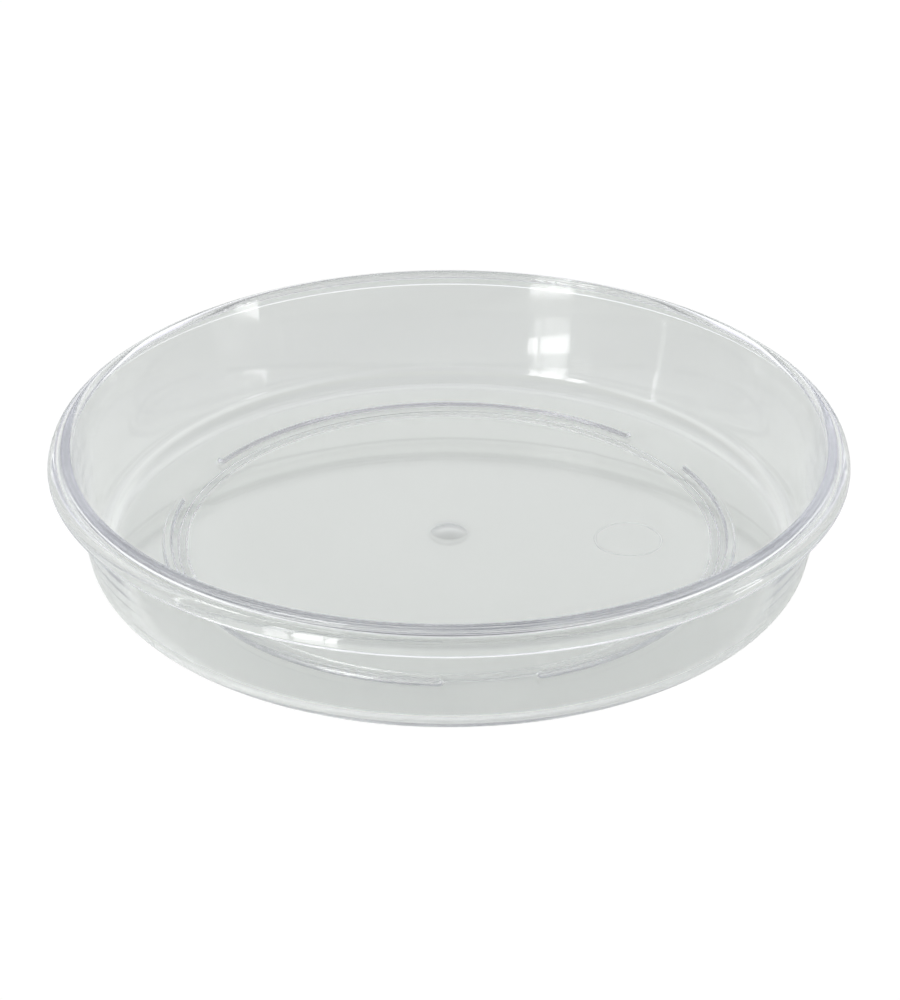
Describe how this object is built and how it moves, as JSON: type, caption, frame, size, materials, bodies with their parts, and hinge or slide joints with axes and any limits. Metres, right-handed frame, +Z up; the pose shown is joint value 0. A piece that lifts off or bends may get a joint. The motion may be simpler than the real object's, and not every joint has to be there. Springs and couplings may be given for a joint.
{
  "type": "plant saucer",
  "caption": "Shallow round saucer in clear plastic with a rim bead, a turned-down lip, arc ribs on its floor and a foot ring underneath.",
  "frame": {"origin": "centre of the foot ring's lower face, on the plane that the saucer stands on", "axes": "+Z up along the saucer's axis, -Y towards the side that is nearest in the picture, +X to the right of it"},
  "size_m": [0.2, 0.2, 0.0332],
  "materials": {
    "clear_plastic": "clear, very slightly grey-green, polished as it leaves the mould"
  },
  "bodies": {
    "root": {"saucer": "clear_plastic"}
  },
  "joints": []
}
